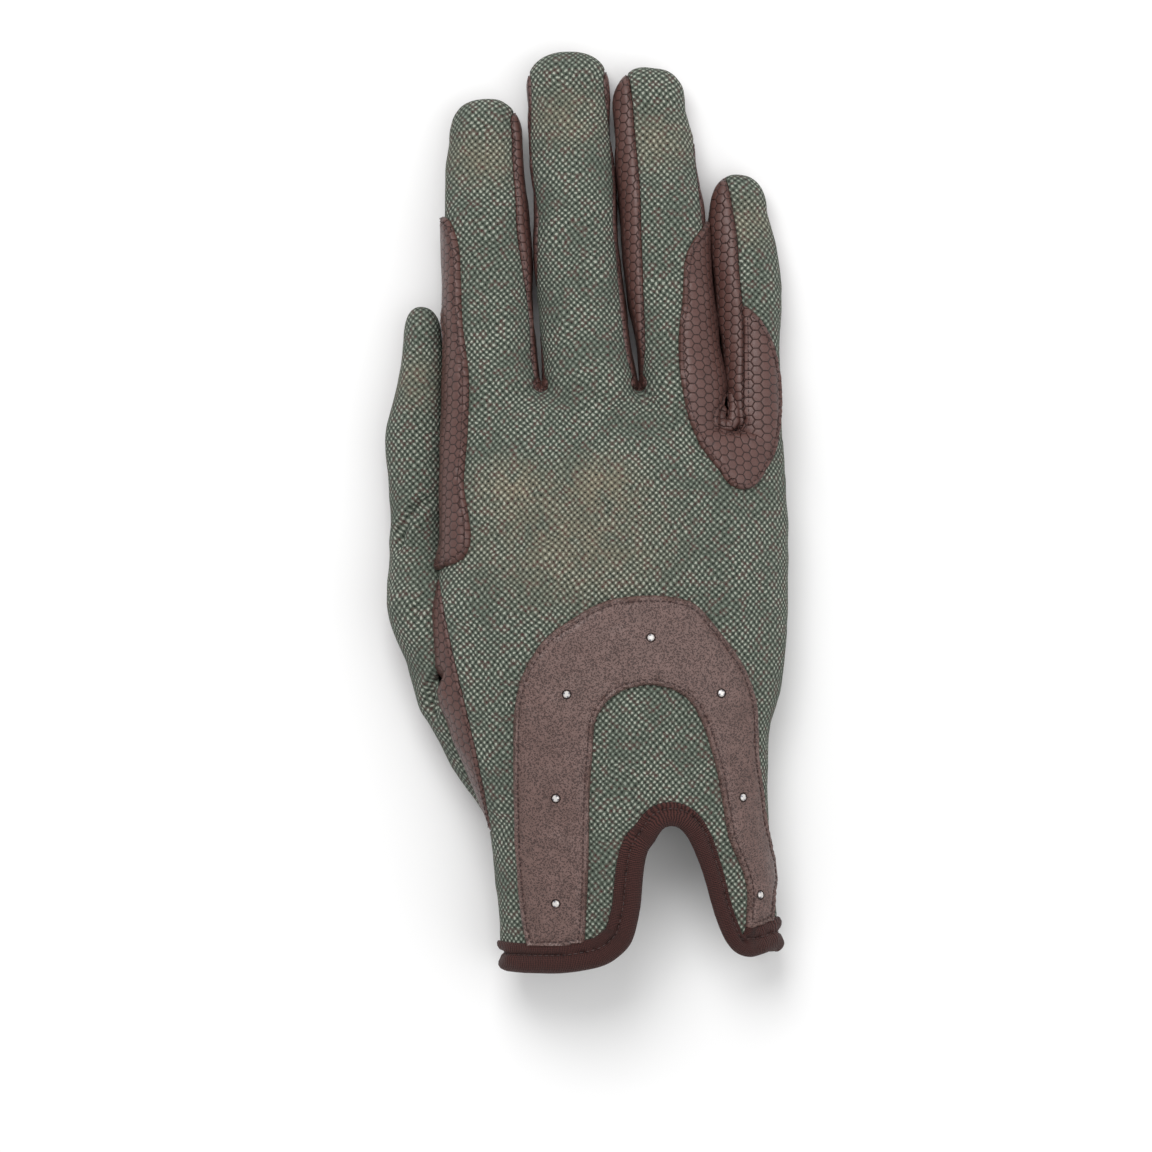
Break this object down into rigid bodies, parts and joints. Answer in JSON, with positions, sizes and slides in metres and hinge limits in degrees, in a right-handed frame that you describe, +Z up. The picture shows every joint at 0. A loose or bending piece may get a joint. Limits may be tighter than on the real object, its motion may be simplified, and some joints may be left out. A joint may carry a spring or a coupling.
{
  "type": "horse riding glove",
  "caption": "Right-hand riding glove with a knitted mesh back, embossed leather palm and patches, and a notched cuff framed by a leather horseshoe with stones.",
  "frame": {"origin": "middle of the glove's footprint, on the surface that its palm lies on", "axes": "+Y from the cuff to the fingertips, +X from the thumb to the little finger, +Z up out of the back of the hand"},
  "size_m": [0.1004, 0.2298, 0.035],
  "materials": {
    "mesh_fabric": "matt knitted mesh",
    "scale_leather": "embossed with small hexagonal scales, satin",
    "smooth_leather": "fine pitted grain, satin",
    "binding_tape": "ribbed, matt",
    "crystal": "clear, faceted"
  },
  "bodies": {
    "root": {"back_panel": "mesh_fabric", "thumb_back": "mesh_fabric", "palm_panel": "scale_leather", "thumb_palm": "scale_leather", "thumb_gusset": "scale_leather", "index_guard": "scale_leather", "rein_patch": "scale_leather", "fourchette_index_middle": "scale_leather", "fourchette_middle_ring": "scale_leather", "fourchette_ring_little": "scale_leather", "horseshoe": "smooth_leather", "cuff_binding": "binding_tape", "stone_1": "crystal", "stone_2": "crystal", "stone_3": "crystal", "stone_4": "crystal", "stone_5": "crystal", "stone_6": "crystal", "stone_7": "crystal"}
  },
  "joints": []
}
